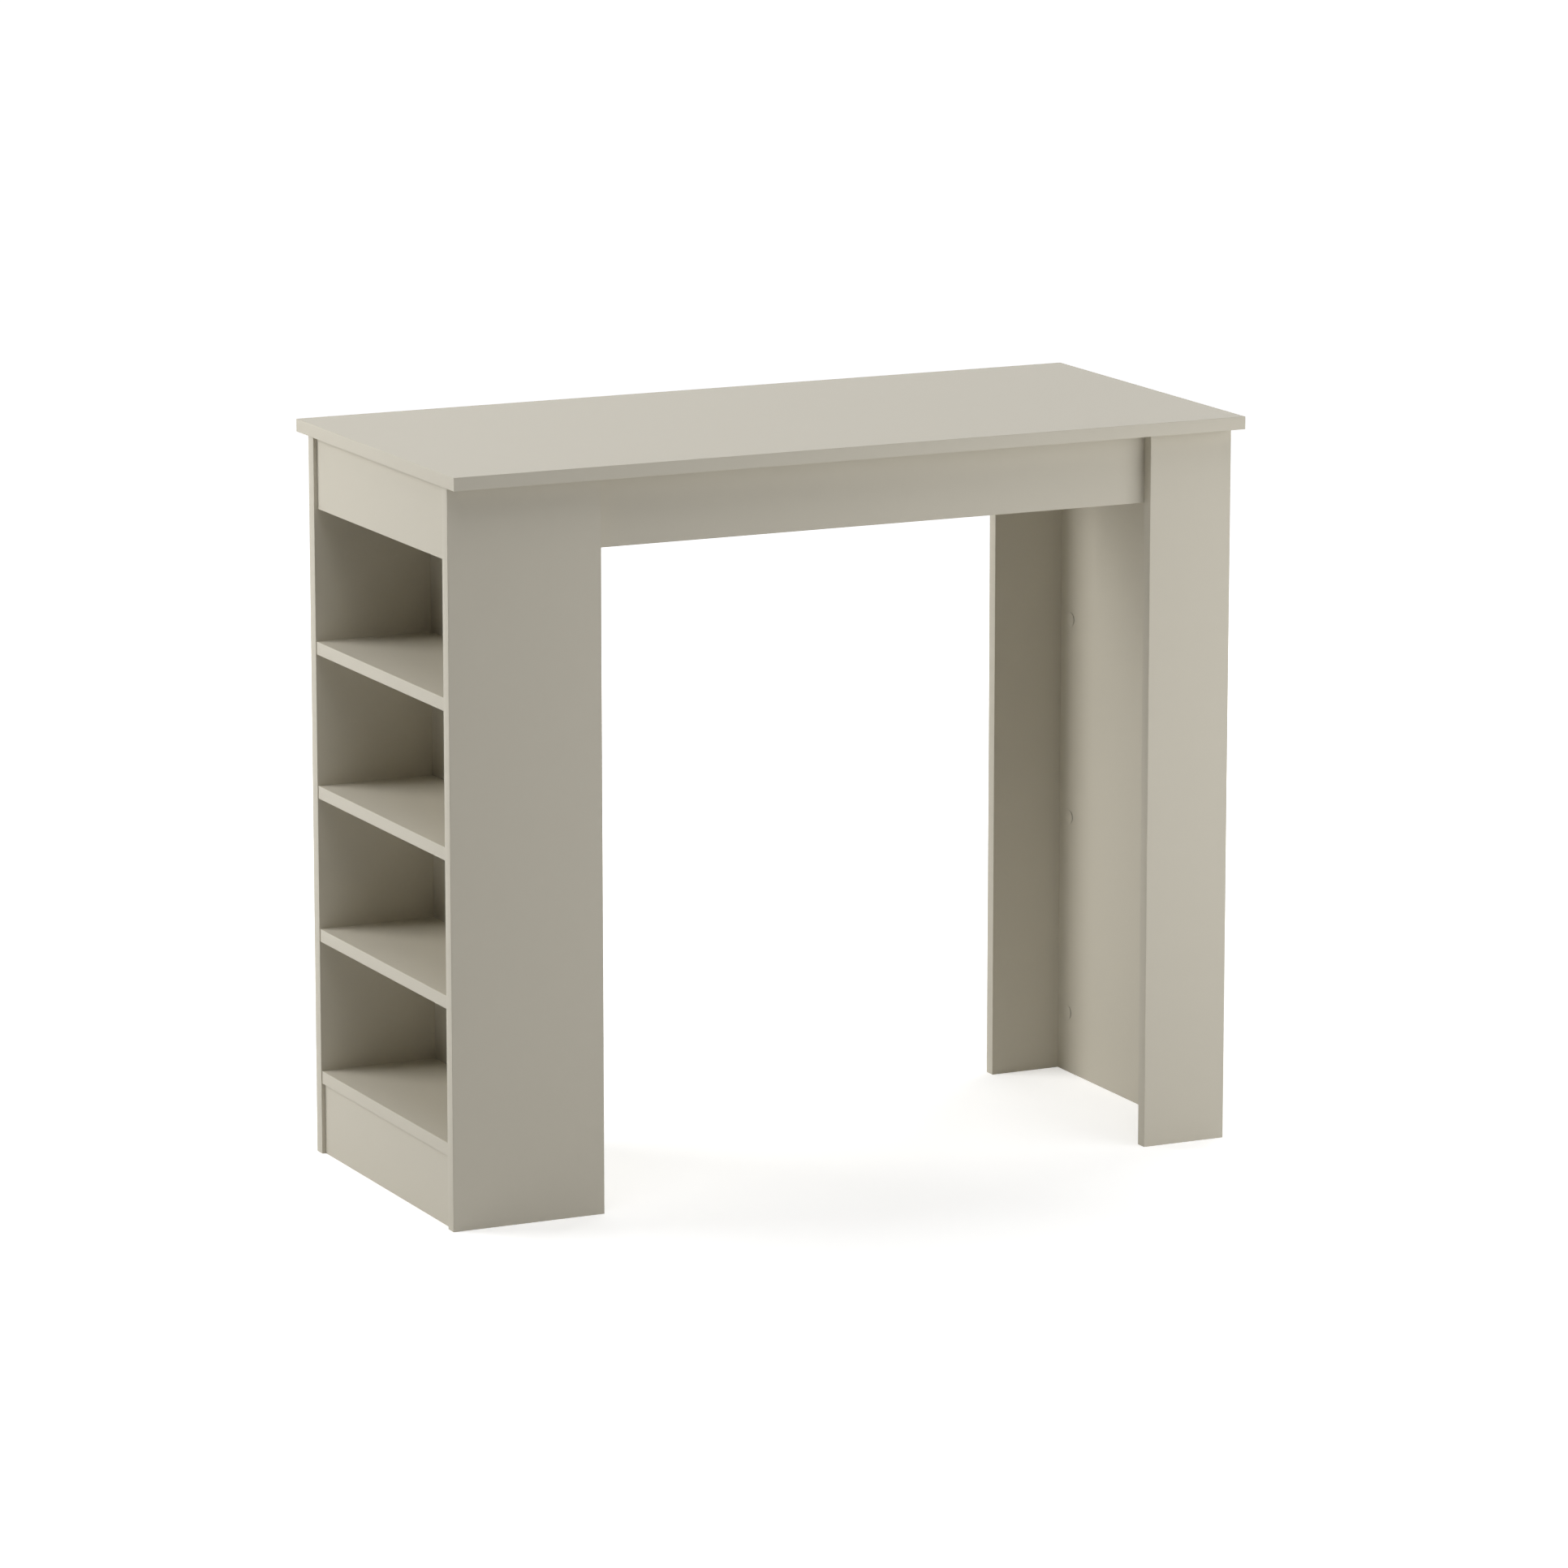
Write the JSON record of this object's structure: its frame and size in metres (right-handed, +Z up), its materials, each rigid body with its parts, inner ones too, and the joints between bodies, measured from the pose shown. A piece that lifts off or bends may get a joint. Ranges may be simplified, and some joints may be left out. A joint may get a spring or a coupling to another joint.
{
  "type": "bar table",
  "caption": "Tall rectangular bar table of faced boards on an open shelf tower and a channel-shaped panel leg, with aprons, header and plinth.",
  "frame": {"origin": "on the floor, below the middle of the table top", "axes": "+X along the table from the shelf tower to the channel leg, +Y from the front to the rear, +Z up"},
  "size_m": [1.178, 0.545, 1.025],
  "materials": {
    "board": "warm light taupe melamine facing, matt to satin",
    "edging": "edging strip in the colour of the board, satin",
    "cap": "moulded cover cap in the colour of the board",
    "cam": "plain die-cast metal",
    "bolt": "zinc-plated steel",
    "dowel": "bare beech"
  },
  "bodies": {
    "root": {"apron_cam_bolts": "bolt", "apron_cam_caps": "cap", "apron_cam_locks": "cam", "apron_dowels": "dowel", "bottom_shelf": "board", "bottom_shelf_edging": "edging", "end_panel": "board", "end_panel_cam_bolts": "bolt", "end_panel_cam_caps": "cap", "end_panel_cam_locks": "cam", "end_panel_dowels": "dowel", "front_apron": "board", "front_apron_edging": "edging", "front_leg": "board", "front_leg_edging": "edging", "lower_shelf": "board", "lower_shelf_edging": "edging", "middle_shelf": "board", "middle_shelf_edging": "edging", "rail_cam_bolts": "bolt", "rail_cam_caps": "cap", "rail_cam_locks": "cam", "rail_dowels": "dowel", "rear_apron": "board", "rear_apron_edging": "edging", "rear_leg": "board", "rear_leg_edging": "edging", "shelf_cam_bolts": "bolt", "shelf_cam_caps": "cap", "shelf_cam_locks": "cam", "shelf_dowels": "dowel", "table_top": "board", "table_top_edging": "edging", "top_cam_bolts": "bolt", "top_cam_caps": "cap", "top_cam_locks": "cam", "top_dowels": "dowel", "tower_back": "board", "tower_back_cam_bolts": "bolt", "tower_back_cam_caps": "cap", "tower_back_cam_locks": "cam", "tower_back_dowels": "dowel", "tower_front_side": "board", "tower_front_side_edging": "edging", "tower_header": "board", "tower_header_edging": "edging", "tower_plinth": "board", "tower_rear_side": "board", "tower_rear_side_edging": "edging", "upper_shelf": "board", "upper_shelf_edging": "edging"}
  },
  "joints": []
}
